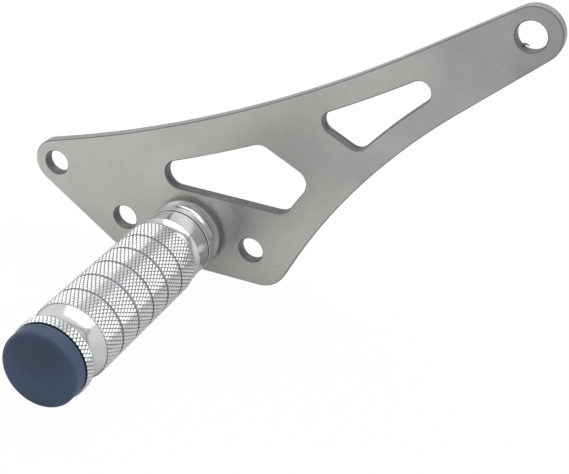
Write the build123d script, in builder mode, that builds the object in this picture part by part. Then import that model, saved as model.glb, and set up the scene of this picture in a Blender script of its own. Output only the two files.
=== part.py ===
from build123d import *
from math import cos, isclose, radians, sin, sqrt
import os

# Foot lock bracket: a flat plate with two lightening windows and a knurled peg that stands out of it.
# Millimetres. The origin is on the plate's back face, on the peg's axis, midway between the two frame
# bolts. +X runs along the frame bolts towards the arm, +Z is up and the peg points along -Y.

# Plate
plate_t = 4.0
edge_break = 0.3
bolt_spacing = 47.0
bolt_hole_d = 8.5
foot_below = 12.3
foot_past_bolt = 9.7
foot_corner_r = 10.0

# Tail, the rounded end on the left with its own hole
tail_hole_x = -50.0
tail_hole_z = 14.2
tail_hole_d = 8.5
tail_end_r = 8.1
tail_under_angle = 34.3

# Arm, the long limb that rises to the right
arm_hole_x = 105.6
arm_hole_z = 91.1
arm_hole_d = 9.4
arm_end_r = 8.5
arm_end_lead = 0.9
arm_top_angle = 33.6
arm_top_straight = 32.8
arm_under_angle = 41.8
arm_under_straight = 32.3

# Windows, and the web that is left between them
web_angle = 64.5
web_distance = 55.0
web_w = 18.0
lower_sill = 28.3
lower_top_band = 11.8
lower_flank_band = 11.2
lower_corner_r = 5.0
upper_band = 7.8
upper_end_r = 3.6
upper_corner_r = 3.8

# Peg, from the plate outwards
peg_d = 25.9
base_lip_w = 1.5
base_lip_step = 0.95
slot_w = 2.3
slot_step = 1.5
slot_ring_count = 3
slot_ring_h = 0.35
collar_w = 3.8
collar_step = 0.5
collar_round = 0.8
relief_w = 0.5
relief_step = 1.5
neck_len = 6.5
neck_step = 1.05
shoulder_len = 3.2
shoulder_band_len = 2.2
shoulder_band_step = 0.1
first_land = 8.4
groove_pitch = 9.3
groove_count = 5
last_land = 9.0
groove_w = 0.9
groove_depth = 0.8
waist_len = 7.1
waist_depth = 1.3
end_ring_len = 4.3
end_ring_chamfer = 0.5
land_chamfer = 0.3

# Socket screw and washer that hold the peg, from behind the plate
screw_d = 10.0
screw_head_d = 16.0
screw_head_h = 10.0
screw_head_chamfer = 0.8
screw_hex = 8.0
screw_hex_depth = 5.0
screw_engagement = 20.0
screw_point_chamfer = 1.0
washer_d = 20.0
washer_t = 2.0
screw_hole_play = 0.25
thread_play = 0.1
tap_extra_depth = 4.0

# End cap, a moulded plug in the peg's open tip
cap_step = 0.6
cap_relief_w = 0.4
cap_relief_step = 0.6
cap_side_h = 4.0
cap_round = 1.8
cap_dome = 0.5
spigot_d = 16.0
spigot_len = 10.0
spigot_play = 0.05
spigot_chamfer = 1.0
spigot_bore_extra = 2.0

os.makedirs("parts", exist_ok=True)


def polar(angle):
    """Unit vector at an angle in degrees, in the plane of a sketch."""
    return Vector(cos(radians(angle)), sin(radians(angle)))


def line_meets_circle(point, direction, centre, radius):
    """Where the line through a point meets a circle, at the meeting nearest to the point."""
    offset = point - centre
    along = offset.dot(direction)
    root = sqrt(along**2 - offset.dot(offset) + radius**2)
    return point + direction * min(root - along, -root - along, key=abs)


def circles_meet(centre_a, radius_a, centre_b, radius_b):
    """Where two circles meet, on the left of the line from the first centre to the second."""
    apart = (centre_b - centre_a).length
    ahead = (centre_b - centre_a) / apart
    step = (apart**2 + radius_a**2 - radius_b**2) / (2 * apart)
    return centre_a + ahead * step + Vector(ahead.Y, -ahead.X) * sqrt(radius_a**2 - step**2)


def bend(centre, radius, start, end):
    """The shorter arc about a centre, from start to end."""
    middle = centre + ((start + end) / 2 - centre).normalized() * radius
    return ThreePointArc(start, middle, end)


# Corners and arc centres of the plate's outline
face_plane = Plane.XZ
tail = Vector(tail_hole_x, tail_hole_z)
arm_end = Vector(arm_hole_x, arm_hole_z) + polar((arm_top_angle + arm_under_angle) / 2) * arm_end_lead
top_normal = polar(arm_top_angle + 90)
under_normal = polar(arm_under_angle - 90)
tail_normal = polar(-tail_under_angle - 90)

# The top edge is the arc that leaves the arm smoothly and runs smoothly into the round of the tail
arm_top = arm_end + top_normal * arm_end_r
top_edge_start = arm_top - polar(arm_top_angle) * arm_top_straight
tail_chord = top_edge_start - tail
top_edge_r = (tail_chord.dot(tail_chord) - tail_end_r**2) / (2 * (tail_end_r - tail_chord.dot(top_normal)))
top_centre = top_edge_start + top_normal * top_edge_r
top_edge_end = tail + (top_centre - tail).normalized() * tail_end_r
tail_under = tail + tail_normal * tail_end_r
foot_left = tail_under + polar(-tail_under_angle) * ((tail_under.Y + foot_below) / sin(radians(tail_under_angle)))
arm_under = arm_end + under_normal * arm_end_r
flank_start = arm_under - polar(arm_under_angle) * arm_under_straight

# The flank is the arc that leaves the arm's underside smoothly and ends at the foot's right corner
foot_right = Vector(bolt_spacing / 2 + foot_past_bolt, -foot_below)
flank_chord = foot_right - flank_start
flank_r = flank_chord.dot(flank_chord) / (2 * flank_chord.dot(under_normal))
flank_centre = flank_start + under_normal * flank_r

# Corners of the windows: their long sides run beside the plate's own edges
web_normal = polar(web_angle)
web_line = polar(web_angle - 90)
web_below = web_normal * (web_distance - web_w / 2)
web_above = web_normal * (web_distance + web_w / 2)
lower_sill_point = Vector(0, lower_sill - foot_below)

lower_top_r = top_edge_r + lower_top_band
lower_flank_r = flank_r + lower_flank_band
lower_tail_corner = line_meets_circle(lower_sill_point, Vector(1, 0), top_centre, lower_top_r)
lower_foot_corner = line_meets_circle(lower_sill_point, Vector(1, 0), flank_centre, lower_flank_r)
lower_flank_corner = line_meets_circle(web_below, web_line, flank_centre, lower_flank_r)
lower_top_corner = line_meets_circle(web_below, web_line, top_centre, lower_top_r)

upper_top_r = top_edge_r + upper_band
upper_flank_r = flank_r + upper_band
upper_end = circles_meet(top_centre, upper_top_r + upper_end_r, flank_centre, upper_flank_r + upper_end_r)
upper_end_top = upper_end + (top_centre - upper_end).normalized() * upper_end_r
upper_end_under = upper_end + (flank_centre - upper_end).normalized() * upper_end_r
upper_flank_corner = line_meets_circle(web_above, web_line, flank_centre, upper_flank_r)
upper_top_corner = line_meets_circle(web_above, web_line, top_centre, upper_top_r)

# Bracket plate: cut outline, windows and holes, with every edge lightly broken
with BuildPart() as bracket_plate:
    with BuildSketch(face_plane) as outline:
        with BuildLine():
            Line(arm_top, top_edge_start)
            bend(top_centre, top_edge_r, top_edge_start, top_edge_end)
            bend(tail, tail_end_r, top_edge_end, tail_under)
            Line(tail_under, foot_left)
            Line(foot_left, foot_right)
            bend(flank_centre, flank_r, foot_right, flank_start)
            Line(flank_start, arm_under)
            bend(arm_end, arm_end_r, arm_under, arm_top)
        make_face()
        fillet(outline.vertices().sort_by(Axis.Y)[:2], foot_corner_r)
    extrude(amount=plate_t)

    with BuildSketch(face_plane) as lower_window:
        with BuildLine():
            Line(lower_tail_corner, lower_foot_corner)
            bend(flank_centre, lower_flank_r, lower_foot_corner, lower_flank_corner)
            Line(lower_flank_corner, lower_top_corner)
            bend(top_centre, lower_top_r, lower_top_corner, lower_tail_corner)
        make_face()
        fillet(lower_window.vertices(), lower_corner_r)
    extrude(amount=plate_t, mode=Mode.SUBTRACT)

    with BuildSketch(face_plane) as upper_window:
        with BuildLine():
            Line(upper_top_corner, upper_flank_corner)
            bend(flank_centre, upper_flank_r, upper_flank_corner, upper_end_under)
            bend(upper_end, upper_end_r, upper_end_under, upper_end_top)
            bend(top_centre, upper_top_r, upper_end_top, upper_top_corner)
        make_face()
        fillet(upper_window.vertices().sort_by(Axis.X)[:2], upper_corner_r)
    extrude(amount=plate_t, mode=Mode.SUBTRACT)

    with BuildSketch(face_plane):
        with Locations((-bolt_spacing / 2, 0), (bolt_spacing / 2, 0)):
            Circle(bolt_hole_d / 2)
        with Locations(tail):
            Circle(tail_hole_d / 2)
        with Locations((arm_hole_x, arm_hole_z)):
            Circle(arm_hole_d / 2)
        Circle(screw_d / 2 + screw_hole_play)
    extrude(amount=plate_t, mode=Mode.SUBTRACT)

    rims = bracket_plate.faces().filter_by(Axis.Y).edges()
    chamfer(rims, edge_break)
bracket_plate.part.label = "bracket_plate"
export_step(bracket_plate.part, "parts/bracket_plate.step")

# The peg and its cap are turned about Y. In this plane x is the radius and y the height over the plate.
turning_plane = Plane(origin=(0, -plate_t, 0), x_dir=(1, 0, 0), z_dir=(0, 0, -1))
peg_r = peg_d / 2
slot_start = base_lip_w
collar_start = slot_start + slot_w
relief_start = collar_start + collar_w
neck_start = relief_start + relief_w
shoulder_start = neck_start + neck_len
band_start = shoulder_start + shoulder_len
knurl_start = band_start + shoulder_band_len
knurl_end = knurl_start + first_land + groove_pitch * (groove_count - 1) + last_land
ring_start = knurl_end + waist_len
peg_top = ring_start + end_ring_len
collar_r = peg_r - collar_step
band_r = peg_r - shoulder_band_step
bore_r = spigot_d / 2 + spigot_play
slot_ring_pitch = slot_w / slot_ring_count
tap_depth = screw_engagement + tap_extra_depth

# Peg body: one turned bar with collar, neck, grooved grip, waist and end ring
with BuildPart() as peg_body:
    with BuildSketch(turning_plane):
        with BuildLine():
            Polyline(
                (0, 0),
                (peg_r - base_lip_step, 0),
                (peg_r - base_lip_step, slot_start),
                (peg_r - slot_step, slot_start),
                (peg_r - slot_step, collar_start),
                (collar_r, collar_start),
                (collar_r, relief_start),
                (peg_r - relief_step, relief_start),
                (peg_r - relief_step, neck_start),
                (peg_r - neck_step, neck_start),
                (peg_r - neck_step, shoulder_start),
            )
            TangentArc((band_r, band_start), (peg_r - neck_step, shoulder_start), tangent=(0, -1))
            Polyline(
                (band_r, band_start),
                (band_r, knurl_start),
                (peg_r, knurl_start + shoulder_band_step),
                (peg_r, knurl_end - land_chamfer),
                (peg_r - land_chamfer, knurl_end),
            )
            ThreePointArc(
                (peg_r - land_chamfer, knurl_end),
                (peg_r - waist_depth, (knurl_end + ring_start) / 2),
                (peg_r - land_chamfer, ring_start),
            )
            Polyline(
                (peg_r - land_chamfer, ring_start),
                (peg_r, ring_start + land_chamfer),
                (peg_r, peg_top - end_ring_chamfer),
                (peg_r - end_ring_chamfer, peg_top),
                (0, peg_top),
                (0, 0),
            )
        make_face()
    revolve(axis=Axis.Y)

    round_edges = peg_body.edges().filter_by(GeomType.CIRCLE)
    fillet(round_edges.filter_by(lambda rim: isclose(rim.radius, collar_r)), collar_round)

    with BuildSketch(turning_plane):
        for ring in range(slot_ring_count):
            with Locations((peg_r - slot_step, slot_start + (ring + 0.5) * slot_ring_pitch)):
                Polygon(
                    (-slot_ring_h, -slot_ring_pitch / 2),
                    (slot_ring_h, 0),
                    (-slot_ring_h, slot_ring_pitch / 2),
                    align=None,
                )
    revolve(axis=Axis.Y)

    with BuildSketch(turning_plane):
        for groove in range(groove_count):
            with Locations((peg_r, knurl_start + first_land + groove * groove_pitch)):
                Rectangle(2 * groove_depth, groove_w)
    revolve(axis=Axis.Y, mode=Mode.SUBTRACT)

    with BuildSketch(turning_plane):
        Rectangle(screw_d / 2 + thread_play, tap_depth, align=(Align.MIN, Align.MIN))
        with Locations((0, peg_top)):
            Rectangle(bore_r, spigot_len + spigot_bore_extra, align=(Align.MIN, Align.MAX))
    revolve(axis=Axis.Y, mode=Mode.SUBTRACT)
peg_body.part.label = "peg_body"
export_step(peg_body.part, "parts/peg_body.step")

# End cap: domed head over a short relief, with a spigot in the peg's tip
cap_r = peg_r - cap_step
cap_side_start = peg_top + cap_relief_w
cap_top = cap_side_start + cap_side_h + cap_round
with BuildPart() as end_cap:
    with BuildSketch(turning_plane):
        with BuildLine():
            Polyline(
                (0, peg_top - spigot_len),
                (spigot_d / 2 - spigot_chamfer, peg_top - spigot_len),
                (spigot_d / 2, peg_top - spigot_len + spigot_chamfer),
                (spigot_d / 2, peg_top),
                (cap_r - cap_relief_step, peg_top),
                (cap_r - cap_relief_step, cap_side_start),
                (cap_r, cap_side_start),
                (cap_r, cap_side_start + cap_side_h),
            )
            CenterArc((cap_r - cap_round, cap_side_start + cap_side_h), cap_round, 0, 90)
            TangentArc((0, cap_top + cap_dome), (cap_r - cap_round, cap_top), tangent=(1, 0))
            Line((0, cap_top + cap_dome), (0, peg_top - spigot_len))
        make_face()
    revolve(axis=Axis.Y)
end_cap.part.label = "end_cap"
export_step(end_cap.part, "parts/end_cap.step")

# Washer under the screw's head, flat on the plate's back face
back_plane = Plane(origin=(0, 0, 0), x_dir=(1, 0, 0), z_dir=(0, 1, 0))
with BuildPart() as peg_washer:
    with BuildSketch(back_plane):
        Circle(washer_d / 2)
        Circle(screw_d / 2 + screw_hole_play, mode=Mode.SUBTRACT)
    extrude(amount=washer_t)
peg_washer.part.label = "peg_washer"
export_step(peg_washer.part, "parts/peg_washer.step")

# Socket head screw: its shank runs through washer and plate into the peg
shank_len = washer_t + plate_t + screw_engagement
with BuildPart() as peg_screw:
    with BuildSketch(back_plane.offset(washer_t)):
        Circle(screw_head_d / 2)
    extrude(amount=screw_head_h)
    chamfer(peg_screw.faces().sort_by(Axis.Y)[-1].edges(), screw_head_chamfer)
    with BuildSketch(back_plane.offset(washer_t + screw_head_h)):
        RegularPolygon(screw_hex / 2, 6, major_radius=False)
    extrude(amount=-screw_hex_depth, mode=Mode.SUBTRACT)
    with BuildSketch(back_plane.offset(washer_t)):
        Circle(screw_d / 2)
    extrude(amount=-shank_len)
    chamfer(peg_screw.faces().sort_by(Axis.Y)[0].edges(), screw_point_chamfer)
peg_screw.part.label = "peg_screw"
export_step(peg_screw.part, "parts/peg_screw.step")
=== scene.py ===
import math

import bmesh
import bpy
from mathutils import Matrix, Vector


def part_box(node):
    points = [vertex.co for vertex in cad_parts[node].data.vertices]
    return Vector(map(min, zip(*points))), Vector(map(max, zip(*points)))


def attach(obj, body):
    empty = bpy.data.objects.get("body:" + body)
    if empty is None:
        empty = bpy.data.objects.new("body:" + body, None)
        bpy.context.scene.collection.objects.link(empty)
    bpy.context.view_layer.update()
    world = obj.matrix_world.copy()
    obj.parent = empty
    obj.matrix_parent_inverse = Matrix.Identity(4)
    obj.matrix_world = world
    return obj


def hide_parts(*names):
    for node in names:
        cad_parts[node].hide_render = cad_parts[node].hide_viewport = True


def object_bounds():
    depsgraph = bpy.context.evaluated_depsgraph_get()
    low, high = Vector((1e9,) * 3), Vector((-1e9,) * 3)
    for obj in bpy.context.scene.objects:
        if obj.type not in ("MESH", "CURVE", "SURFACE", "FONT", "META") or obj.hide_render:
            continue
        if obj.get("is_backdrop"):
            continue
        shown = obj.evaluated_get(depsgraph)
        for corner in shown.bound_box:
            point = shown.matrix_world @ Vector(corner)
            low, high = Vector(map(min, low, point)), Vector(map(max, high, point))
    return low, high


bl_info = {
    "name": "Foot Lock Bracket",
    "version": (1, 0, 0),
    "blender": (4, 5, 0),
    "location": "3D View > Sidebar > Foot Lock",
    "description": "Finishes, knurled grip, fixings and studio stage of a foot lock bracket",
    "category": "Object",
}

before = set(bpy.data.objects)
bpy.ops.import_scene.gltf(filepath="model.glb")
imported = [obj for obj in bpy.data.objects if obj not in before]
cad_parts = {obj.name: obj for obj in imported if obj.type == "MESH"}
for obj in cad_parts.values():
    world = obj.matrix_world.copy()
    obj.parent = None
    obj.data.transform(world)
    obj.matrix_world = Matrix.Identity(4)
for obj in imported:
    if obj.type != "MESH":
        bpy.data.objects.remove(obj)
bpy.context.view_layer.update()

MM = 0.001
PLATE_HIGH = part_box("bracket_plate")[1]
PEG_LOW, PEG_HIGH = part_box("peg_body")
CAP_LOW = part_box("end_cap")[0]
GRIP_RADIUS = min(PEG_HIGH.x, -PEG_LOW.x, PEG_HIGH.z, -PEG_LOW.z)


def length(name, default, description):
    """A size in metres, given in millimetres."""
    return bpy.props.FloatProperty(
        name=name,
        description=description,
        default=default * MM,
        subtype="DISTANCE",
        unit="LENGTH",
        precision=5,
    )


def count(name, default, description):
    """A whole number."""
    return bpy.props.IntProperty(name=name, description=description, default=default)


def share(name, default, description):
    """A plain number with no unit."""
    return bpy.props.FloatProperty(name=name, description=description, default=default)


def colour(name, default, description):
    """A linear colour."""
    return bpy.props.FloatVectorProperty(
        name=name, description=description, default=default, subtype="COLOR", size=3, min=0.0, max=1.0
    )


def direction(name, default, description):
    """A direction or a place in the part's own frame."""
    return bpy.props.FloatVectorProperty(name=name, description=description, default=default, size=3)


class FootLockPegSizes(bpy.types.PropertyGroup):
    """Sizes of the turned peg, from the plate outwards."""

    lip_width: length("Lip width", 0.5, "Plain lip against the plate")
    lip_step: length("Lip step", 0.95, "How far the lip stays inside the grip's radius")
    slot_width: length("Slot width", 3.3, "Finely grooved band behind the collar")
    slot_step: length("Slot step", 1.2, "Middle depth of that band below the grip")
    slot_rings: count("Slot rings", 5, "Fine ridges in the band")
    slot_ring_height: length("Slot ring height", 0.26, "Rise or fall of a fine ridge from the middle depth")
    crown_width: length("Crown width", 1.7, "Rounded part of the collar, which falls towards the grip")
    crown_step: length("Crown step", 0.6, "Depth of the crown's top below the grip")
    belt_width: length("Belt width", 1.8, "Plain belt after the crown")
    belt_step: length("Belt step", 0.93, "Depth of the belt below the grip")
    relief_width: length("Relief width", 0.5, "Narrow relief between belt and neck")
    relief_step: length("Relief step", 1.5, "Depth of the relief below the grip")
    neck_length: length("Neck length", 6.5, "Plain polished neck")
    neck_step: length("Neck step", 1.05, "Depth of the neck below the grip")
    cove_length: length("Cove length", 5.6, "Polished band between neck and knurl")
    cove_rise: length("Cove rise", 0.2, "Height of the band's edge over the neck")
    cove_run: length("Cove run", 3.7, "Part of the band that falls in a curve")
    cove_depth: length("Cove depth", 0.86, "Fall of the curve below that edge")
    first_land: length("First land", 8.4, "Start of the knurl to the first groove's middle")
    groove_pitch: length("Groove pitch", 9.3, "Middle to middle of the grip's grooves")
    groove_count: count("Grooves", 5, "Grooves across the grip")
    last_land: length("Last land", 9.0, "Last groove's middle to the waist")
    groove_width: length("Groove width", 0.95, "Width of a groove")
    groove_depth: length("Groove depth", 0.62, "Depth of a groove below the grip")
    waist_length: length("Waist length", 7.8, "Concave polished waist")
    waist_edge_step: length("Waist edge step", 0.5, "Depth of the waist at its edges")
    waist_depth: length("Waist depth", 1.3, "Depth of the waist at its middle")
    ring_chamfer: length("Ring chamfer", 0.1, "Chamfer at the tip of the end ring")
    land_chamfer: length("Land chamfer", 0.16, "Chamfer at the ends of each knurled land")
    edge_break: length("Edge break", 0.12, "Small break on the turned corners")
    socket_radius: length("Socket radius", 8.05, "Bore that takes the cap's spigot")
    socket_depth: length("Socket depth", 12.0, "Depth of that bore")
    segments: count("Segments", 240, "Segments round the peg")


class FootLockKnurlSizes(bpy.types.PropertyGroup):
    """Sizes of the diamond knurl."""

    teeth: count("Teeth", 60, "Diamonds round the grip")
    tooth_length: length("Tooth length", 2.47, "Length of one diamond along the grip")
    depth: length("Depth", 0.32, "Depth of the knurl's valleys")
    flat: share("Flat", 0.14, "Width of a diamond's flat top as a share of its foot")
    ridge: share("Ridge", 1.0, "Widths by which a crest is longer along one helix than along the other")


class FootLockFinish(bpy.types.PropertyGroup):
    """Colours and gloss of the finishes."""

    # The plate's tone moves between these two by its blotches and by painted light and shade along its
    # length
    plate_light: colour("Plate light", (0.53, 0.525, 0.495), "Lighter patches of the plate's satin steel")
    plate_dark: colour("Plate dark", (0.333, 0.328, 0.332), "Darker patches of the plate's satin steel")
    # Painted shade and reflection of the peg on the plate round its foot
    plate_painted_shade: colour("Plate shade", (0.29, 0.3, 0.37), "Handled steel round the peg's foot")
    plate_edge: colour("Plate edge", (0.34, 0.34, 0.335), "Tumbled outer edge of the plate")
    # Painted shade on the broken rims
    plate_rim_shade: colour("Plate rim", (0.16, 0.16, 0.17), "Broken rims of the plate, its windows and its holes")
    # Painted shade on the cut walls inside the windows and holes, which the outer edge does not get
    plate_cut_shade: colour("Plate cut", (0.14, 0.14, 0.15), "Raw cut walls of the windows and holes")
    plate_roughness: share("Plate roughness", 0.29, "Roughness of the plate's faces")
    peg_metal: colour("Peg metal", (0.61, 0.62, 0.63), "Polished metal of the peg")
    peg_roughness: share("Peg roughness", 0.17, "Roughness of the turned surfaces")
    # Painted shade in the peg's grooves and recesses
    peg_recess_shade: colour("Peg hollow", (0.24, 0.24, 0.26), "Unpolished metal in the peg's grooves")
    # Painted shade in the knurl's valleys and on the lands' end walls
    knurl_valley_shade: colour("Knurl valley", (0.17, 0.17, 0.18), "Metal in the knurl's valleys")
    knurl_roughness: share("Knurl roughness", 0.18, "Roughness of the knurl")
    cap_face: colour("Cap", (0.052, 0.084, 0.146), "Moulded end cap")
    cap_roughness: share("Cap roughness", 0.5, "Roughness of the cap")
    fixing_metal: colour("Fixing metal", (0.6, 0.6, 0.61), "Screw and washer")
    fixing_roughness: share("Fixing roughness", 0.3, "Roughness of the fixings")


class FootLockStage(bpy.types.PropertyGroup):
    """Floor, lights and camera."""

    floor_colour: colour("Floor", (0.7, 0.7, 0.7), "Pale floor")
    floor_size: length("Floor size", 8000.0, "Side of the floor")
    floor_glow: share("Floor glow", 0.97, "Share of plain white in the floor as the camera sees it")
    floor_mirrored: share("Floor mirrored", 0.3, "Share of plain white in the floor as metal shows it")
    world_back: share("World back", 0.75, "World light from behind and above")
    world_front: share("World front", 0.5, "World light from the front")
    key_power: share("Key power", 12.5, "Power of the large softbox overhead and behind, in watts")
    fill_power: share("Fill power", 1.0, "Power of the softbox in front on the left, in watts")
    camera_place: direction("Camera place", (0.1849, -0.3747, 0.2292), "Where the camera stands")
    camera_right: direction("Camera right", (0.9146, 0.4009, 0.0531), "Right of the camera's picture")
    camera_ahead: direction("Camera ahead", (-0.3276, 0.8116, -0.4838), "Where the camera looks")
    camera_lens: share("Camera lens", 89.37, "Focal length for a 36 mm wide sensor")


# Shader helpers


def join(tree, source, target):
    """Links a socket to an input, or sets the input to a plain value."""
    if isinstance(source, bpy.types.NodeSocket):
        tree.links.new(source, target)
    else:
        target.default_value = source


def add_node(tree, kind, values=None, **settings):
    """Adds a node, sets its options, and feeds each named input a socket or a plain value."""
    node = tree.nodes.new(kind)
    for key, value in settings.items():
        setattr(node, key, value)
    for key, value in (values or {}).items():
        join(tree, value, node.inputs[key])
    return node


def math_node(tree, operation, *values, clamp=False):
    """A Math node on sockets or numbers; returns its output."""
    inputs = dict(enumerate(values))
    return add_node(tree, "ShaderNodeMath", inputs, operation=operation, use_clamp=clamp).outputs[0]


def vector_node(tree, operation, first, second):
    """A Vector Math node on a socket and a socket or three numbers; returns its output."""
    node = add_node(tree, "ShaderNodeVectorMath", {0: first, 1: second}, operation=operation)
    return node.outputs["Value" if operation in ("DISTANCE", "DOT_PRODUCT") else "Vector"]


def combine(tree, operation, values):
    """One value from many sockets, by a Math operation on two at a time."""
    total = values[0]
    for value in values[1:]:
        total = math_node(tree, operation, total, value)
    return total


def map_range(tree, value, low, high, to_low=0.0, to_high=1.0, smooth=False):
    """Maps a value from one range to another, clamped."""
    values = {"Value": value, "From Min": low, "From Max": high, "To Min": to_low, "To Max": to_high}
    curve = "SMOOTHSTEP" if smooth else "LINEAR"
    node = add_node(tree, "ShaderNodeMapRange", values, clamp=True, interpolation_type=curve)
    return node.outputs["Result"]


def mix_colour(tree, factor, first, second):
    """Mixes two colours by a socket; each colour is a socket or three numbers."""
    node = add_node(tree, "ShaderNodeMix", {"Factor": factor}, data_type="RGBA")
    targets = [socket for socket in node.inputs if socket.type == "RGBA"]
    for value, target in zip((first, second), targets):
        plain = not isinstance(value, bpy.types.NodeSocket)
        join(tree, (*value, 1.0) if plain else value, target)
    return [socket for socket in node.outputs if socket.type == "RGBA"][0]


def mix_shaders(tree, factor, first, second):
    """Mixes two shaders by a socket; returns the result."""
    return add_node(tree, "ShaderNodeMixShader", {"Fac": factor, 1: first, 2: second}).outputs[0]


def toned(tree, mask, tint, kept):
    """A colour that is whole where the mask is 1 and keeps only a share of its light where it is 0."""
    return mix_colour(tree, mask, [part * kept for part in tint], tint)


def object_place(tree):
    """The place on the piece, in the shared frame."""
    return add_node(tree, "ShaderNodeTexCoord").outputs["Object"]


def axes(tree, vector):
    """The X, Y and Z of a vector, as sockets by name."""
    return add_node(tree, "ShaderNodeSeparateXYZ", {0: vector}).outputs


def mirrored_rays(tree, path):
    """1 for the rays that metal and glass send on."""
    return math_node(tree, "MAXIMUM", path["Is Glossy Ray"], path["Is Transmission Ray"])


def fresh_tree(owner):
    """Switches a material or a world to nodes and returns its tree, emptied."""
    owner.use_nodes = True
    owner.node_tree.nodes.clear()
    return owner.node_tree


def new_group(name, inputs, outputs):
    """An empty group of plain numbers; returns its tree, its inputs as sockets and its outputs to feed."""
    tree = bpy.data.node_groups.new(name, "ShaderNodeTree")
    for label in inputs:
        tree.interface.new_socket(name=label, in_out="INPUT", socket_type="NodeSocketFloat")
    for label in outputs:
        tree.interface.new_socket(name=label, in_out="OUTPUT", socket_type="NodeSocketFloat")
    return tree, tree.nodes.new("NodeGroupInput").outputs, tree.nodes.new("NodeGroupOutput").inputs


def place_group(tree, name, **values):
    """Places a node group in a material and sets its inputs; returns its outputs."""
    node = add_node(tree, "ShaderNodeGroup", node_tree=bpy.data.node_groups[name])
    for label, value in values.items():
        node.inputs[label.replace("_", " ").capitalize()].default_value = value
    return node.outputs


# Shader groups


def noise_mask(tree, place, scale, detail, rough, fade):
    """A mask from noise over a place, with the part of the noise's range in fade spread over all of it."""
    values = {"Vector": place, "Scale": scale, "Detail": detail, "Roughness": rough}
    return map_range(tree, add_node(tree, "ShaderNodeTexNoise", values).outputs["Fac"], *fade)


def build_mottle_group():
    """Soft blotches and fine grain, as a tumbled or handled metal shows."""
    tree, given, out = new_group("metal_mottle", ("Blotch scale", "Grain scale"), ("Blotch", "Grain"))
    place = object_place(tree)
    for label, detail, rough in (("Blotch", 5.0, 0.6), ("Grain", 3.0, 0.55)):
        mask = noise_mask(tree, place, given[label + " scale"], detail, rough, fade=(0.3, 0.7))
        join(tree, mask, out[label])


def build_turning_group():
    """Fine rings round the peg's axis, left by turning: along the side by place, on end faces by radius."""
    tree, given, out = new_group("turning_rings", ("Pitch",), ("Height",))
    parts = axes(tree, object_place(tree))
    across = math_node(tree, "MULTIPLY", parts["X"], parts["X"])
    upward = math_node(tree, "MULTIPLY", parts["Z"], parts["Z"])
    radius = math_node(tree, "SQRT", math_node(tree, "ADD", across, upward))
    along = math_node(tree, "ADD", radius, parts["Y"])
    rings = math_node(tree, "DIVIDE", along, given["Pitch"])
    values = {"W": rings, "Scale": 1.0, "Detail": 2.0}
    noise = add_node(tree, "ShaderNodeTexNoise", values, noise_dimensions="1D")
    join(tree, noise.outputs["Fac"], out["Height"])


# Straight sides round each window, as the direction of the side's normal in degrees and its distance from
# the peg's axis in millimetres; the round holes, as middle and radius; and the mask's reach past their walls
WINDOW_SIDES = (
    ((-31.7, 21.5), (64.5, 46.3), (113.6, 25.9), (180.0, 8.7), (-90.0, -15.7)),
    ((-115.5, -63.7), (-43.1, 12.7), (38.0, 106.2), (120.9, 23.2), (180.0, -45.0)),
)
HOLES = ((-23.5, 0.0, 4.55), (23.5, 0.0, 4.55), (-50.0, 14.2, 4.55), (105.6, 91.1, 5.0), (0.0, 0.0, 5.55))
MASK_REACH = 2.0


def build_inner_group():
    """Mask of the places inside the plate's windows and holes, a little past their walls."""
    tree, _, out = new_group("inner_places", (), ("Inside",))
    place = object_place(tree)
    beyond = []
    for sides in WINDOW_SIDES:
        past_sides = []
        for angle, distance in sides:
            turn = math.radians(angle)
            along = vector_node(tree, "DOT_PRODUCT", place, (math.cos(turn), 0.0, math.sin(turn)))
            past_sides.append(math_node(tree, "SUBTRACT", along, distance * MM))
        beyond.append(combine(tree, "MAXIMUM", past_sides))
    flat = vector_node(tree, "MULTIPLY", place, (1.0, 0.0, 1.0))
    for x, z, radius in HOLES:
        apart = vector_node(tree, "DISTANCE", flat, (x * MM, 0.0, z * MM))
        beyond.append(math_node(tree, "SUBTRACT", apart, radius * MM))
    nearest = combine(tree, "MINIMUM", beyond)
    join(tree, math_node(tree, "LESS_THAN", nearest, MASK_REACH * MM), out["Inside"])


# How squarely a face looks along Y: 0 on the cut walls, 0.71 on the broken rims and 1 on the flat faces.
# Each mask fades between two such values.
WALL_END = (0.45, 0.9)
RIM_START = (0.35, 0.6)
RIM_END = (0.8, 0.95)

# The scales that draw the streaks out along the walls
STREAK_SCALES = (0.08, 1.0, 0.08)


def build_cut_group():
    """Masks of the walls that face sideways and of the broken rims, and the streaks that cutting leaves."""
    tree, given, out = new_group("cut_walls", ("Streak scale",), ("Wall", "Rim", "Streak"))
    normal = add_node(tree, "ShaderNodeNewGeometry").outputs["Normal"]
    facing = math_node(tree, "ABSOLUTE", axes(tree, normal)["Y"])
    join(tree, map_range(tree, facing, *WALL_END, 1.0, 0.0), out["Wall"])
    past_wall = map_range(tree, facing, *RIM_START)
    before_face = map_range(tree, facing, *RIM_END, 1.0, 0.0)
    join(tree, math_node(tree, "MULTIPLY", past_wall, before_face), out["Rim"])
    drawn = add_node(tree, "ShaderNodeMapping", {"Vector": object_place(tree), "Scale": STREAK_SCALES})
    scale = given["Streak scale"]
    streaks = noise_mask(tree, drawn.outputs[0], scale, detail=2.0, rough=0.5, fade=(0.35, 0.65))
    join(tree, streaks, out["Streak"])


# Materials


def new_material(name, metallic):
    """An empty principled material; returns it, its tree and its shader node."""
    material = bpy.data.materials.new(name)
    tree = fresh_tree(material)
    shader = add_node(tree, "ShaderNodeBsdfPrincipled", {"Metallic": metallic})
    add_node(tree, "ShaderNodeOutputMaterial", {"Surface": shader.outputs[0]})
    return material, tree, shader


def varied(tree, mask, middle, at_0, at_1):
    """A value that a mask moves off its middle, by at_0 where the mask is 0 and by at_1 where it is 1."""
    return map_range(tree, mask, 0.0, 1.0, middle + at_0, middle + at_1)


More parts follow.
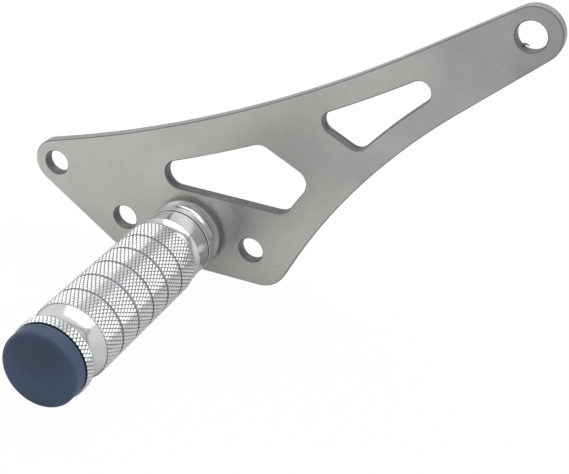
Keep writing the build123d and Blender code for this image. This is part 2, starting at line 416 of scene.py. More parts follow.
def dress(tree, shader, tint, roughness, height, depth):
    """Feeds the shader its colour, its roughness, and a bump from a height with a depth in metres."""
    join(tree, tint, shader.inputs["Base Color"])
    join(tree, roughness, shader.inputs["Roughness"])
    bump = add_node(tree, "ShaderNodeBump", {"Strength": 1.0, "Distance": depth, "Height": height})
    join(tree, bump.outputs["Normal"], shader.inputs["Normal"])


# The plate's tone is dark at 0 and light at 1. The blotches add to it, and so does painted light and shade
# along X: lighter up to a little right of the peg, then darker towards the arm's end.
TONE_OF_BLOTCHES = 0.5
PAINTED_LIGHT_START = 30 * MM
PAINTED_LIGHT_AT_START = 0.72
PAINTED_LIGHT_AT_ARM_END = -0.3

# The painted shade and reflection of the peg on the plate beside its foot: its middle, where it starts to
# fade and ends, its share of the colour, and how far the blotches pull it in
PEG_SHADE_MIDDLE = (18 * MM, -4 * MM, 4 * MM)
PEG_SHADE_FADE = (3 * MM, 18 * MM)
PEG_SHADE_SHARE = 0.5
PEG_SHADE_WAVINESS = 12 * MM

# Shares of light that the darker streaks keep, on the outer edge and on the walls inside the windows and
# holes, which have painted shade
EDGE_STREAK_LIGHT = 0.7
CUT_STREAK_LIGHT = 0.35

# What the walls add to the roughness, and the grain's share of the bump beside that of the streaks
WALL_ROUGHNESS = 0.08
GRAIN_SHARE = 0.25


def plate_material(finish):
    """Satin steel with soft blotches, painted light and shade along its length, a painted shade and
    reflection of the peg by its foot, painted shade on its rims and on the walls inside its windows and
    holes, and streaked walls where it was cut.
    """
    material, tree, shader = new_material("satin_steel", 1.0)
    mottle = place_group(tree, "metal_mottle", blotch_scale=38.0, grain_scale=1400.0)
    cut = place_group(tree, "cut_walls", streak_scale=1600.0)
    inner = place_group(tree, "inner_places")
    place = object_place(tree)

    x = axes(tree, place)["X"]
    # Painted light and shade: lighter by the peg, darker towards the arm's end
    along = map_range(tree, x, PAINTED_LIGHT_START, PLATE_HIGH.x, PAINTED_LIGHT_AT_START, PAINTED_LIGHT_AT_ARM_END)
    blotches = math_node(tree, "MULTIPLY", mottle["Blotch"], TONE_OF_BLOTCHES)
    tone = math_node(tree, "ADD", blotches, along, clamp=True)
    broad = mix_colour(tree, tone, finish.plate_dark, finish.plate_light)

    # Painted shade and reflection of the peg beside its foot
    apart = vector_node(tree, "DISTANCE", place, PEG_SHADE_MIDDLE)
    wavy = math_node(tree, "MULTIPLY", mottle["Blotch"], PEG_SHADE_WAVINESS)
    reach = math_node(tree, "ADD", apart, wavy)
    peg_shade = map_range(tree, reach, *PEG_SHADE_FADE, PEG_SHADE_SHARE, 0.0, smooth=True)
    faces = mix_colour(tree, peg_shade, broad, finish.plate_painted_shade)

    sawn = toned(tree, cut["Streak"], finish.plate_edge, EDGE_STREAK_LIGHT)
    edges = mix_colour(tree, cut["Wall"], faces, sawn)
    # The walls inside the windows and holes get painted shade, darker than the outer edge
    shaded_cut = toned(tree, cut["Streak"], finish.plate_cut_shade, CUT_STREAK_LIGHT)
    shaded_walls = math_node(tree, "MULTIPLY", cut["Wall"], inner["Inside"])
    walls = mix_colour(tree, shaded_walls, edges, shaded_cut)
    # Painted shade on the broken rims
    tint = mix_colour(tree, cut["Rim"], walls, finish.plate_rim_shade)

    satin = varied(tree, mottle["Blotch"], finish.plate_roughness, at_0=0.05, at_1=-0.05)
    rough = math_node(tree, "ADD", satin, math_node(tree, "MULTIPLY", cut["Wall"], WALL_ROUGHNESS))
    streak = math_node(tree, "MULTIPLY", cut["Streak"], cut["Wall"])
    grain = math_node(tree, "MULTIPLY", mottle["Grain"], GRAIN_SHARE)
    dress(tree, shader, tint, rough, math_node(tree, "ADD", streak, grain), depth=0.00006)
    return material


def peg_material(finish):
    """Polished turned metal with faint rings and a little handling haze, with painted shade in the grooves
    and recesses.
    """
    material, tree, shader = new_material("polished_metal", 1.0)
    mottle = place_group(tree, "metal_mottle", blotch_scale=160.0, grain_scale=2500.0)
    rings = place_group(tree, "turning_rings", pitch=0.00016)
    # Painted shade in the grooves and recesses
    recess_mask = add_node(tree, "ShaderNodeAttribute", attribute_name="recess_shade").outputs["Fac"]
    tint = mix_colour(tree, recess_mask, finish.peg_metal, finish.peg_recess_shade)
    rough = varied(tree, mottle["Blotch"], finish.peg_roughness, at_0=-0.03, at_1=0.05)
    dress(tree, shader, tint, rough, rings["Height"], depth=0.000006)
    return material


# Share of a tooth's height from which its metal has no painted shade
UNSHADED_HEIGHT = 0.35


def knurl_material(finish):
    """The same metal on the diamonds, with painted shade towards the bottom of the valleys and on the lands'
    end walls.
    """
    material, tree, shader = new_material("knurled_metal", 1.0)
    mottle = place_group(tree, "metal_mottle", blotch_scale=220.0, grain_scale=3000.0)
    height = add_node(tree, "ShaderNodeAttribute", attribute_name="tooth_height").outputs["Fac"]
    # Painted shade towards the bottom of the valleys
    risen = map_range(tree, height, 0.0, UNSHADED_HEIGHT)
    tint = mix_colour(tree, risen, finish.knurl_valley_shade, finish.peg_metal)
    rough = varied(tree, mottle["Blotch"], finish.knurl_roughness, at_0=-0.03, at_1=0.06)
    dress(tree, shader, tint, rough, mottle["Grain"], depth=0.000008)
    return material


# The cap has painted shade, darkest round a point over its middle and lighter between these distances from
# it. Its painted shade keeps this share of light, and its blotches add this much to its tone.
CAP_SHADE_MIDDLE = (0.0, CAP_LOW.y, 7 * MM)
CAP_SHADE_FADE = (4 * MM, 17 * MM)
CAP_SHADE_LIGHT = 0.58
CAP_BLOTCHES = 0.25
CAP_SPECULAR = 0.27


def cap_material(finish):
    """Matt moulded plastic with a faint grain, with painted shade in the middle."""
    material, tree, shader = new_material("moulded_cap", 0.0)
    mottle = place_group(tree, "metal_mottle", blotch_scale=70.0, grain_scale=3500.0)
    # Painted shade in the middle of the cap, lighter towards its rounded edge
    apart = vector_node(tree, "DISTANCE", object_place(tree), CAP_SHADE_MIDDLE)
    outward = map_range(tree, apart, *CAP_SHADE_FADE, smooth=True)
    tone = math_node(tree, "ADD", outward, math_node(tree, "MULTIPLY", mottle["Blotch"], CAP_BLOTCHES))
    tint = toned(tree, tone, finish.cap_face, CAP_SHADE_LIGHT)
    rough = varied(tree, mottle["Grain"], finish.cap_roughness, at_0=-0.04, at_1=0.06)
    dress(tree, shader, tint, rough, mottle["Grain"], depth=0.00001)
    shader.inputs["Specular IOR Level"].default_value = CAP_SPECULAR
    return material


# Share of light that the fixings' darker blotches keep
FIXING_BLOTCH_LIGHT = 0.85


def fixing_material(finish):
    """Plain steel of the screw and the washer."""
    material, tree, shader = new_material("fixing_steel", 1.0)
    mottle = place_group(tree, "metal_mottle", blotch_scale=180.0, grain_scale=2500.0)
    rings = place_group(tree, "turning_rings", pitch=0.0002)
    tint = toned(tree, mottle["Blotch"], finish.fixing_metal, FIXING_BLOTCH_LIGHT)
    rough = varied(tree, mottle["Grain"], finish.fixing_roughness, at_0=-0.05, at_1=0.08)
    dress(tree, shader, tint, rough, rings["Height"], depth=0.00001)
    return material


# Mesh helpers


def set_material(piece, material):
    """Gives a piece one material."""
    piece.data.materials.clear()
    piece.data.materials.append(material)


def new_piece(name, mesh, material):
    """Links a mesh as a new piece of the object, with its material."""
    piece = bpy.data.objects.new(name, mesh)
    bpy.context.scene.collection.objects.link(piece)
    set_material(piece, material)
    return piece


def arc_points(centre, radius, start, end, steps):
    """Points on an arc in the profile's plane; angles in degrees, 0 along the radius and 90 outwards."""
    points = []
    for step in range(steps + 1):
        angle = math.radians(start + (end - start) * step / steps)
        points.append((centre[0] + radius * math.cos(angle), centre[1] + radius * math.sin(angle)))
    return points


def written(shape, name, sharp):
    """Writes a shape out as a mesh with outward faces, smooth up to an angle in degrees."""
    bmesh.ops.recalc_face_normals(shape, faces=shape.faces)
    mesh = bpy.data.meshes.new(name)
    shape.to_mesh(mesh)
    shape.free()
    mesh.shade_smooth()
    mesh.set_sharp_from_angle(angle=math.radians(sharp))
    return mesh


# A profile's point closer to the axis than this is a pole
POLE_RADIUS = 1e-7


def revolve(name, profile, segments, base, outward):
    """Turns a closed profile of (radius, height, painted recess shade) about the Y axis; heights run out
    from base.
    """
    shape = bmesh.new()
    shade_layer = shape.verts.layers.float.new("recess_shade")
    turn = [2 * math.pi * k / segments for k in range(segments)]
    rings = []
    for radius, height, recess_shade in profile:
        y = base + outward * height
        if radius < POLE_RADIUS:
            rings.append([shape.verts.new((0.0, y, 0.0))])
            continue
        rings.append([shape.verts.new((radius * math.cos(a), y, radius * math.sin(a))) for a in turn])
        for vertex in rings[-1]:
            vertex[shade_layer] = recess_shade
    for ring, after in zip(rings, rings[1:] + rings[:1]):
        if len(ring) == 1 and len(after) == 1:
            continue
        for k in range(segments):
            n = (k + 1) % segments
            if len(ring) == 1:
                shape.faces.new((ring[0], after[k], after[n]))
            elif len(after) == 1:
                shape.faces.new((ring[k], after[0], ring[n]))
            else:
                shape.faces.new((ring[k], after[k], after[n], ring[n]))
    return written(shape, name, sharp=28)


def peg_heights(peg):
    """Heights over the plate at which each part of the peg starts."""
    at = {"slot": peg.lip_width}
    at["crown"] = at["slot"] + peg.slot_width
    at["belt"] = at["crown"] + peg.crown_width
    at["relief"] = at["belt"] + peg.belt_width
    at["neck"] = at["relief"] + peg.relief_width
    at["cove"] = at["neck"] + peg.neck_length
    at["knurl"] = at["cove"] + peg.cove_length
    at["grooves"] = [at["knurl"] + peg.first_land + k * peg.groove_pitch for k in range(peg.groove_count)]
    at["waist"] = at["grooves"][-1] + peg.last_land
    at["ring"] = at["waist"] + peg.waist_length
    at["top"] = PEG_HIGH.y - PEG_LOW.y
    return at


def hollow(edge, start, end, depth, steps):
    """Points of a concave arc between two heights at the same radius."""
    chord = end - start
    radius = (chord * chord / 4 + depth * depth) / (2 * depth)
    half = math.degrees(math.asin(chord / 2 / radius))
    return arc_points((edge - depth + radius, (start + end) / 2), radius, 180 + half, 180 - half, steps)


# How much painted shade each part of the turned peg gets in its grooves and recesses, at its lip and on its
# end face, from 0 for none to 1 for full
RECESS_SHADES = {
    "lip": 0.25,
    "rings": 0.5,
    "collar": 0.0,
    "relief": 1.0,
    "neck": 0.0,
    "seam": 1.0,
    "cove": 0.0,
    "core": 0.25,
    "waist": 0.0,
    "end": 0.3,
}

# Where a fine ridge of the slot rises and has risen, as shares of its pitch; it falls the same way
RIDGE_FOOT = 0.06
RIDGE_TOP = 0.44

# The crown starts at this angle of its arc, in degrees, and the cove's curve has this many steps
CROWN_START = 1.5
COVE_STEPS = 12


def peg_profile(peg, radius):
    """Closed profile of the turned peg, with the painted shade of each part. Under the lands it follows the
    groove floor.
    """
    at = peg_heights(peg)
    ease = peg.edge_break
    parts = {}
    lip = radius - peg.lip_step
    parts["lip"] = [(0.0, 0.0), (lip - ease, 0.0)]
    parts["lip"] += arc_points((lip - ease, at["slot"] - ease), ease, 0, 90, steps=4)

    valley = radius - peg.slot_step - peg.slot_ring_height
    ridge = radius - peg.slot_step + peg.slot_ring_height
    pitch = peg.slot_width / peg.slot_rings
    parts["rings"] = []
    for ring in range(peg.slot_rings):
        low = at["slot"] + ring * pitch
        parts["rings"] += [(valley, low + pitch * RIDGE_FOOT), (ridge, low + pitch * RIDGE_TOP)]
        parts["rings"] += [(ridge, low + pitch * (1 - RIDGE_TOP)), (valley, low + pitch * (1 - RIDGE_FOOT))]

    crown = radius - peg.crown_step
    belt = radius - peg.belt_step
    drop = crown - belt
    sweep_radius = (drop * drop + peg.crown_width**2) / (2 * drop)
    sweep = math.degrees(math.asin(peg.crown_width / sweep_radius))
    middle = (crown - sweep_radius, at["crown"])
    parts["collar"] = [(crown - ease, at["crown"])]
    parts["collar"] += arc_points(middle, sweep_radius, CROWN_START, sweep, steps=12)
    parts["collar"] += [(belt, at["belt"] + ease), (belt, at["relief"] - ease), (belt - ease, at["relief"])]

    relief = radius - peg.relief_step
    neck = radius - peg.neck_step
    parts["relief"] = [(relief, at["relief"]), (relief, at["neck"])]
    parts["neck"] = [(neck - ease, at["neck"]), (neck, at["neck"] + ease), (neck, at["cove"] - 3 * ease)]
    parts["seam"] = [(neck - 2 * ease, at["cove"] - 2.5 * ease), (neck - 2 * ease, at["cove"] - ease)]

    brow = neck + peg.cove_rise
    parts["cove"] = [(brow - ease, at["cove"])]
    for step in range(COVE_STEPS + 1):
        left = 1 - step / COVE_STEPS
        fall = peg.cove_depth * (1 - left * left)
        parts["cove"].append((brow - fall, at["cove"] + ease + peg.cove_run * (1 - left)))
    parts["cove"].append((brow - peg.cove_depth, at["knurl"] - ease))

    core = radius - peg.groove_depth
    floor = at["top"] - peg.socket_depth
    waist_depth = peg.waist_depth - peg.waist_edge_step
    parts["core"] = [(core, at["knurl"]), (core, at["waist"])]
    parts["waist"] = hollow(radius - peg.waist_edge_step, at["waist"], at["ring"], waist_depth, steps=24)
    parts["end"] = [(core, at["ring"]), (core, at["top"]), (peg.socket_radius, at["top"])]
    parts["end"] += [(peg.socket_radius, floor), (0.0, floor)]
    return [(*point, RECESS_SHADES[part]) for part, points in parts.items() for point in points]


# The burr: points along it from the wall of the arm's hole, and its width and thickness there, in mm
BURR_SPINE = (
    (102.3, -0.5, 86.8),
    (102.8, -0.5, 87.15),
    (103.3, -0.45, 87.4),
    (103.9, -0.4, 87.42),
    (104.8, -0.35, 87.15),
)
BURR_WIDTHS = (1.3, 1.05, 0.75, 0.6, 0.25)
BURR_THICKNESSES = (0.8, 0.75, 0.6, 0.5, 0.2)


def tongue(name, spine, widths, thicknesses, sides):
    """A thin bent tongue along points in millimetres, with an oval section at each; ends closed."""
    shape = bmesh.new()
    spine = [Vector(point) for point in spine]
    rings = []
    for place, (middle, width, thickness) in enumerate(zip(spine, widths, thicknesses)):
        ahead = (spine[min(place + 1, len(spine) - 1)] - spine[max(place - 1, 0)]).normalized()
        across = Vector((0.0, 1.0, 0.0)).cross(ahead).normalized()
        deep = ahead.cross(across)
        ring = []
        for side in range(sides):
            turn = 2 * math.pi * side / sides
            offset = across * (math.cos(turn) * width / 2) + deep * (math.sin(turn) * thickness / 2)
            ring.append(shape.verts.new((middle + offset) * MM))
        rings.append(ring)
    for ring, after in zip(rings, rings[1:]):
        for side in range(sides):
            shape.faces.new((ring[side], ring[(side + 1) % sides], after[(side + 1) % sides], after[side]))
    shape.faces.new(rings[0])
    shape.faces.new(rings[-1])
    return written(shape, name, sharp=50)


# The knurl

# Points of neighbouring diamonds closer than this are made one
WELD_DISTANCE = 0.00002


def build_knurl_tree():
    """Geometry nodes: diamonds on an unrolled strip, wrapped round the Y axis, then welded."""
    tree = bpy.data.node_groups.new("diamond_knurl", "GeometryNodeTree")
    tree.interface.new_socket(name="Geometry", in_out="OUTPUT", socket_type="NodeSocketGeometry")
    for kind, labels in (
        ("Int", ("Teeth", "Rows")),
        ("Float", ("Tooth length", "Radius", "Depth", "Flat", "Ridge", "Start")),
        ("Material", ("Material",)),
    ):
        for label in labels:
            tree.interface.new_socket(name=label, in_out="INPUT", socket_type="NodeSocket" + kind)
    given = tree.nodes.new("NodeGroupInput").outputs
    out = tree.nodes.new("NodeGroupOutput").inputs

    def calc(operation, *values):
        return math_node(tree, operation, *values)

    def vector(**parts):
        return add_node(tree, "ShaderNodeCombineXYZ", parts).outputs[0]

    def made(kind, values, **settings):
        return add_node(tree, "GeometryNode" + kind, values, **settings).outputs[0]

    # One diamond: a four-sided pyramid without a foot, blunt, with its crest drawn out along one helix
    blunt = calc("MULTIPLY", given["Flat"], 0.5)
    sizes = {"Radius Top": blunt, "Radius Bottom": 0.5, "Depth": 1.0}
    diamond = made("MeshCone", {"Vertices": 4, "Side Segments": 1, "Fill Segments": 1, **sizes})
    corner = axes(tree, made("InputPosition", {}))
    lean = calc("MULTIPLY", calc("SUBTRACT", corner["Y"], corner["X"]), 0.5)
    stretch = calc("MULTIPLY", lean, given["Ridge"])
    slide = vector(X=calc("MULTIPLY", stretch, -1.0), Y=stretch)
    at_top = calc("GREATER_THAN", corner["Z"], 0.5)
    crested = made("SetPosition", {"Geometry": diamond, "Selection": at_top, "Offset": slide})
    facing = axes(tree, made("InputNormal", {}))
    downward = calc("LESS_THAN", facing["Z"], -0.5)
    open_foot = made("DeleteGeometry", {"Geometry": crested, "Selection": downward}, domain="FACE")

    # Two grids of middles, the second half a diamond further along both ways
    width = calc("DIVIDE", 2 * math.pi, given["Teeth"])
    span = calc("MULTIPLY", calc("SUBTRACT", given["Rows"], 1.0), given["Tooth length"])
    points = add_node(tree, "GeometryNodeJoinGeometry")
    for offset in (0.0, 0.5):
        counts = {"Vertices X": given["Teeth"], "Vertices Y": given["Rows"]}
        sides = {"Size X": calc("SUBTRACT", 2 * math.pi, width), "Size Y": span}
        grid = made("MeshGrid", {**counts, **sides})
        stagger = calc("MULTIPLY", given["Tooth length"], offset)
        start = calc("ADD", calc("ADD", calc("MULTIPLY", span, 0.5), stagger), given["Start"])
        shift = vector(X=calc("MULTIPLY", width, offset), Y=start)
        join(tree, made("SetPosition", {"Geometry": grid, "Offset": shift}), points.inputs[0])

    size = vector(X=width, Y=given["Tooth length"], Z=given["Depth"])
    placed = {"Points": points.outputs[0], "Instance": open_foot, "Scale": size}
    teeth = made("RealizeInstances", {0: made("InstanceOnPoints", placed)})

    # The strip keeps each point's share of the tooth's height, and is then wrapped
    flat = axes(tree, made("InputPosition", {}))
    rise = calc("DIVIDE", flat["Z"], given["Depth"])
    kept = {"Geometry": teeth, "Name": "tooth_height", "Value": rise}
    stored = made("StoreNamedAttribute", kept, data_type="FLOAT")
    radius = calc("ADD", calc("SUBTRACT", given["Radius"], given["Depth"]), flat["Z"])
    wrapped = vector(
        X=calc("MULTIPLY", radius, calc("COSINE", flat["X"])),
        Y=calc("MULTIPLY", flat["Y"], -1.0),
        Z=calc("MULTIPLY", radius, calc("SINE", flat["X"])),
    )
    bent = made("SetPosition", {"Geometry": stored, "Position": wrapped})
    welded = made("MergeByDistance", {"Geometry": bent, "Distance": WELD_DISTANCE})
    painted = made("SetMaterial", {"Geometry": welded, "Material": given["Material"]})
    join(tree, painted, out["Geometry"])
    return tree


def plain_mesh(tree, values, name):
    """Runs a geometry node tree with the given inputs and returns the result as a plain mesh."""
    carrier = bpy.data.objects.new(name + "_carrier", bpy.data.meshes.new(name + "_carrier"))
    bpy.context.scene.collection.objects.link(carrier)
    modifier = carrier.modifiers.new(name, "NODES")
    modifier.node_group = tree
    for item in tree.interface.items_tree:
        if item.item_type == "SOCKET" and item.in_out == "INPUT":
            modifier[item.identifier] = values[item.name]
    bpy.context.view_layer.update()
    evaluated = carrier.evaluated_get(bpy.context.evaluated_depsgraph_get())
    mesh = bpy.data.meshes.new_from_object(evaluated)
    mesh.name = name
    bpy.data.objects.remove(carrier)
    return mesh


# How close a point lies to a cut that counts as on it, and how close points are made one
CUT_TOLERANCE = 1e-7
SAME_POINT = 1e-6

# The tooth height that gives the lands' end walls their painted shade
WALL_SHADE_HEIGHT = 0.15


def draw_in(vertex, radius):
    """Moves a point towards the Y axis, to a radius."""
    now = math.hypot(vertex.co.x, vertex.co.z)
    vertex.co.x *= radius / now
    vertex.co.z *= radius / now


def cut_land(source, base, low, high, radius, core, low_chamfer, high_chamfer):
    """Cuts one closed land from the knurled sleeve, between two heights, with chamfered ends."""
    land = source.copy()
    cuts = (
        (low, True, False),
        (low + low_chamfer, False, False),
        (high - high_chamfer, False, False),
        (high, False, True),
    )
    for height, drop_below, drop_above in cuts:
        bmesh.ops.bisect_plane(
            land,
            geom=land.verts[:] + land.edges[:] + land.faces[:],
            dist=CUT_TOLERANCE,
            plane_co=(0.0, base - height, 0.0),
            plane_no=(0.0, -1.0, 0.0),
            clear_inner=drop_below,
            clear_outer=drop_above,
        )
    for vertex in land.verts:
        height = base - vertex.co.y
        cut_low = low + low_chamfer - height
        cut_high = height - high + high_chamfer
        allowed = radius - max(0.0, cut_low, cut_high)
        if math.hypot(vertex.co.x, vertex.co.z) > allowed:
            draw_in(vertex, allowed)
    rims = [edge for edge in land.edges if edge.is_boundary]
    walls = bmesh.ops.extrude_edge_only(land, edges=rims)["geom"]
    risen = land.verts.layers.float["tooth_height"]
    for vertex in walls:
        if isinstance(vertex, bmesh.types.BMVert):
            vertex[risen] = WALL_SHADE_HEIGHT
            draw_in(vertex, core)
    loops = [edge for edge in land.edges if edge.is_boundary]
    bmesh.ops.bridge_loops(land, edges=loops)
    bmesh.ops.remove_doubles(land, verts=land.verts, dist=SAME_POINT)
    bmesh.ops.recalc_face_normals(land, faces=land.faces)
    return land


# Operators


class FOOT_LOCK_OT_prepare(bpy.types.Operator):
    """Builds the shader groups that several finishes share."""

    bl_idname = "foot_lock.prepare"
    bl_label = "Prepare Shader Groups"

    def execute(self, context):
        build_mottle_group()
        build_turning_group()
        build_cut_group()
        build_inner_group()
        return {"FINISHED"}


class FOOT_LOCK_OT_plate(bpy.types.Operator):
    """Gives the bracket plate its satin steel."""

    bl_idname = "foot_lock.plate"
    bl_label = "Finish Plate"

    def execute(self, context):
        set_material(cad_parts["bracket_plate"], plate_material(context.scene.foot_lock_finish))
        return {"FINISHED"}


class FOOT_LOCK_OT_burr(bpy.types.Operator):
    """Leaves the small burr on the back rim of the arm's hole."""

    bl_idname = "foot_lock.burr"
    bl_label = "Add Burr"

    def execute(self, context):
        mesh = tongue("arm_hole_burr", BURR_SPINE, BURR_WIDTHS, BURR_THICKNESSES, sides=8)
        piece = new_piece("arm_hole_burr", mesh, bpy.data.materials["satin_steel"])
        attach(piece, "root")
        return {"FINISHED"}


class FOOT_LOCK_OT_peg(bpy.types.Operator):
    """Turns the peg's smooth parts: lip, collar, neck, cove, grooves and waist."""

    bl_idname = "foot_lock.peg"
    bl_label = "Turn Peg"

    def execute(self, context):
        peg = context.scene.foot_lock_peg
        profile = peg_profile(peg, GRIP_RADIUS)
        mesh = revolve("turned_peg", profile, peg.segments, base=PEG_HIGH.y, outward=-1)
        piece = new_piece("turned_peg", mesh, peg_material(context.scene.foot_lock_finish))
        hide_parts("peg_body")
        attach(piece, "root")
        return {"FINISHED"}


# Rows of diamonds beyond those that fit, so that the sleeve reaches past both its ends before it is cut
SPARE_ROWS = 2


class FOOT_LOCK_OT_knurl(bpy.types.Operator):
    """Makes the diamond knurl of the grip's lands and of the end ring."""

    bl_idname = "foot_lock.knurl"
    bl_label = "Knurl Grip"

    def execute(self, context):
        peg, knurl = context.scene.foot_lock_peg, context.scene.foot_lock_knurl
        at = peg_heights(peg)
        material = knurl_material(context.scene.foot_lock_finish)
        span = at["top"] - at["knurl"]
        values = {
            "Teeth": knurl.teeth,
            "Rows": math.ceil(span / knurl.tooth_length) + SPARE_ROWS,
            "Tooth length": knurl.tooth_length,
            "Radius": GRIP_RADIUS,
            "Depth": knurl.depth,
            "Flat": knurl.flat,
            "Ridge": knurl.ridge,
            "Start": at["knurl"] - knurl.tooth_length - PEG_HIGH.y,
            "Material": material,
        }
        sleeve = bmesh.new()
        sleeve.from_mesh(plain_mesh(build_knurl_tree(), values, "knurl_sleeve"))
        half = peg.groove_width / 2
        starts = [at["knurl"]] + [middle + half for middle in at["grooves"]]
        ends = [middle - half for middle in at["grooves"]] + [at["waist"]]
        spans = [(low, high, peg.land_chamfer, peg.land_chamfer) for low, high in zip(starts, ends)]
        spans.append((at["ring"], at["top"], peg.land_chamfer, peg.ring_chamfer))
        core = GRIP_RADIUS - peg.groove_depth
        whole = bmesh.new()
        for low, high, low_chamfer, high_chamfer in spans:
            land = cut_land(sleeve, PEG_HIGH.y, low, high, GRIP_RADIUS, core, low_chamfer, high_chamfer)
            part = bpy.data.meshes.new("knurl_land")
            land.to_mesh(part)
            whole.from_mesh(part)
            land.free()
            bpy.data.meshes.remove(part)
        sleeve.free()
        mesh = bpy.data.meshes.new("grip_knurl")
        whole.to_mesh(mesh)
        whole.free()
        piece = new_piece("grip_knurl", mesh, material)
        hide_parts("peg_body")
        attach(piece, "root")
        return {"FINISHED"}


class FOOT_LOCK_OT_cap(bpy.types.Operator):
    """Gives the end cap its matt moulded finish."""

    bl_idname = "foot_lock.cap"
    bl_label = "Finish Cap"

    def execute(self, context):
        set_material(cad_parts["end_cap"], cap_material(context.scene.foot_lock_finish))
        return {"FINISHED"}


class FOOT_LOCK_OT_fixings(bpy.types.Operator):
    """Gives the screw and the washer behind the plate their steel."""

    bl_idname = "foot_lock.fixings"
    bl_label = "Finish Fixings"

    def execute(self, context):
        material = fixing_material(context.scene.foot_lock_finish)
        for name in ("peg_screw", "peg_washer"):
            set_material(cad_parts[name], material)
        return {"FINISHED"}


# The way towards the world's brightest part, and the dot product with it at which the brightness is full
WORLD_BRIGHT_SIDE = (-0.1, 0.62, 0.78)
WORLD_FADE = 0.55

# Place and size of each softbox, and where the one in front aims, in metres
OVER_PLACE = (0.28, 0.49, 1.12)
OVER_SIZE = (1.8, 1.22)
FRONT_PLACE = (-0.9, -0.7, 0.5)
FRONT_SIZE = (0.8, 0.8)
FRONT_AIM = (0.02, -0.03, 0.03)

# The sensor's width in millimetres, and the camera's nearest and farthest sight in metres
SENSOR_WIDTH = 36.0
NEAREST_SIGHT = 0.01
FARTHEST_SIGHT = 50.0


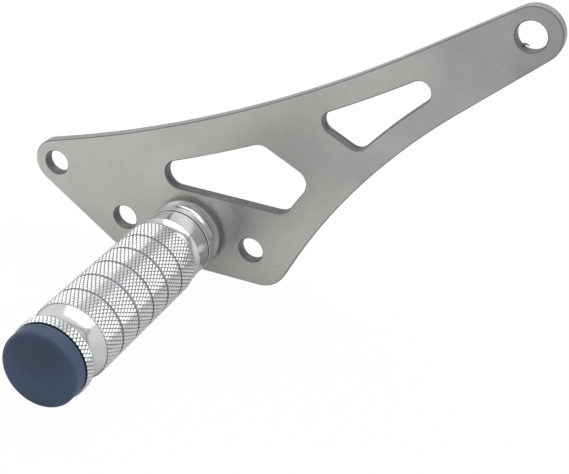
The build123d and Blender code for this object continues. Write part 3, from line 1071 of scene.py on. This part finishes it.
class FOOT_LOCK_OT_stage(bpy.types.Operator):
    """Makes the pale floor, the soft lights, the white world and the camera."""

    bl_idname = "foot_lock.stage"
    bl_label = "Build Stage"

    def execute(self, context):
        stage = context.scene.foot_lock_stage
        self.build_floor(stage)
        self.build_world(context.scene, stage)
        self.build_lights(stage)
        self.build_camera(context.scene, stage)
        context.scene.view_settings.view_transform = "Standard"
        return {"FINISHED"}

    def build_floor(self, stage):
        """A large plane under the lowest point, white to the eye, that keeps the part's soft shadow."""
        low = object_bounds()[0]
        half = stage.floor_size / 2
        mesh = bpy.data.meshes.new("floor")
        corners = [(-half, -half, low.z), (half, -half, low.z), (half, half, low.z), (-half, half, low.z)]
        mesh.from_pydata(corners, [], [(0, 1, 2, 3)])
        material = bpy.data.materials.new("floor_white")
        tree = fresh_tree(material)
        matt = add_node(tree, "ShaderNodeBsdfDiffuse", {"Color": (*stage.floor_colour, 1.0)})
        white = add_node(tree, "ShaderNodeEmission", {"Strength": 1.0})
        path = add_node(tree, "ShaderNodeLightPath").outputs
        sent_on = math_node(tree, "MULTIPLY", mirrored_rays(tree, path), stage.floor_mirrored)
        direct = math_node(tree, "MULTIPLY", path["Is Camera Ray"], stage.floor_glow)
        shown = math_node(tree, "MAXIMUM", direct, sent_on)
        glow = mix_shaders(tree, shown, matt.outputs[0], white.outputs[0])
        below = add_node(tree, "ShaderNodeNewGeometry").outputs["Backfacing"]
        clear = add_node(tree, "ShaderNodeBsdfTransparent").outputs[0]
        add_node(tree, "ShaderNodeOutputMaterial", {"Surface": mix_shaders(tree, below, glow, clear)})
        floor = new_piece("floor", mesh, material)
        floor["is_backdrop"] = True

    def build_world(self, scene, stage):
        """White where it is seen, brighter behind and above the part than in front of it."""
        world = bpy.data.worlds.new("studio")
        tree = fresh_tree(world)
        towards = add_node(tree, "ShaderNodeTexCoord").outputs["Generated"]
        lean = vector_node(tree, "DOT_PRODUCT", towards, Vector(WORLD_BRIGHT_SIDE).normalized())
        levels = (stage.world_front, stage.world_back)
        level = map_range(tree, lean, -WORLD_FADE, WORLD_FADE, *levels, smooth=True)
        white = (1.0, 1.0, 1.0, 1.0)
        light = add_node(tree, "ShaderNodeBackground", {"Color": white, "Strength": level})
        plain = add_node(tree, "ShaderNodeBackground", {"Color": white, "Strength": 1.0})
        path = add_node(tree, "ShaderNodeLightPath").outputs
        seen = math_node(tree, "MAXIMUM", path["Is Camera Ray"], mirrored_rays(tree, path))
        both = mix_shaders(tree, seen, light.outputs[0], plain.outputs[0])
        add_node(tree, "ShaderNodeOutputWorld", {"Surface": both})
        scene.world = world

    def build_lights(self, stage):
        """Two softboxes: a large one overhead and behind, and a small one in front on the left."""
        self.add_softbox("softbox_over", stage.key_power, OVER_PLACE, OVER_SIZE)
        front = self.add_softbox("softbox_front", stage.fill_power, FRONT_PLACE, FRONT_SIZE)
        aim = Vector(FRONT_AIM) - Vector(FRONT_PLACE)
        front.rotation_euler = aim.to_track_quat("-Z", "Y").to_euler()

    def add_softbox(self, name, power, place, size):
        """One softbox that looks straight down; its size is across and along, in metres."""
        data = bpy.data.lights.new(name, "AREA")
        data.shape = "RECTANGLE"
        data.size, data.size_y = size
        data.energy = power
        lamp = bpy.data.objects.new(name, data)
        lamp.location = place
        bpy.context.scene.collection.objects.link(lamp)
        return lamp

    def build_camera(self, scene, stage):
        """The camera at the photograph's place and angle."""
        data = bpy.data.cameras.new("camera")
        data.sensor_width = SENSOR_WIDTH
        data.lens = stage.camera_lens
        data.clip_start = NEAREST_SIGHT
        data.clip_end = FARTHEST_SIGHT
        camera = bpy.data.objects.new("camera", data)
        ahead = Vector(stage.camera_ahead).normalized()
        right = Vector(stage.camera_right).normalized()
        up = right.cross(ahead)
        turn = Matrix((right, up, -ahead)).transposed()
        camera.matrix_world = Matrix.Translation(Vector(stage.camera_place)) @ turn.to_4x4()
        scene.collection.objects.link(camera)
        scene.camera = camera


OPERATORS = (
    FOOT_LOCK_OT_prepare,
    FOOT_LOCK_OT_plate,
    FOOT_LOCK_OT_burr,
    FOOT_LOCK_OT_peg,
    FOOT_LOCK_OT_knurl,
    FOOT_LOCK_OT_cap,
    FOOT_LOCK_OT_fixings,
    FOOT_LOCK_OT_stage,
)


class FOOT_LOCK_PT_panel(bpy.types.Panel):
    """Lists the sizes, the finishes and the steps."""

    bl_label = "Foot Lock Bracket"
    bl_idname = "FOOT_LOCK_PT_panel"
    bl_space_type = "VIEW_3D"
    bl_region_type = "UI"
    bl_category = "Foot Lock"

    def draw(self, context):
        for group in SETTINGS:
            box = self.layout.box()
            box.label(text=group)
            settings = getattr(context.scene, group)
            for name in settings.__annotations__:
                box.prop(settings, name)
        for operator in OPERATORS:
            self.layout.operator(operator.bl_idname)


SETTINGS = {
    "foot_lock_peg": FootLockPegSizes,
    "foot_lock_knurl": FootLockKnurlSizes,
    "foot_lock_finish": FootLockFinish,
    "foot_lock_stage": FootLockStage,
}


def register():
    """Registers the settings, the steps and the panel."""
    for name, group in SETTINGS.items():
        bpy.utils.register_class(group)
        setattr(bpy.types.Scene, name, bpy.props.PointerProperty(type=group))
    for operator in OPERATORS:
        bpy.utils.register_class(operator)
    bpy.utils.register_class(FOOT_LOCK_PT_panel)


def unregister():
    """Takes back what register added."""
    bpy.utils.unregister_class(FOOT_LOCK_PT_panel)
    for operator in reversed(OPERATORS):
        bpy.utils.unregister_class(operator)
    for name, group in reversed(SETTINGS.items()):
        delattr(bpy.types.Scene, name)
        bpy.utils.unregister_class(group)


def main():
    """Builds the whole scene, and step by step."""
    register()
    for operator in OPERATORS:
        section, step = operator.bl_idname.split(".")
        getattr(getattr(bpy.ops, section), step)()


if __name__ == "__main__":
    main()
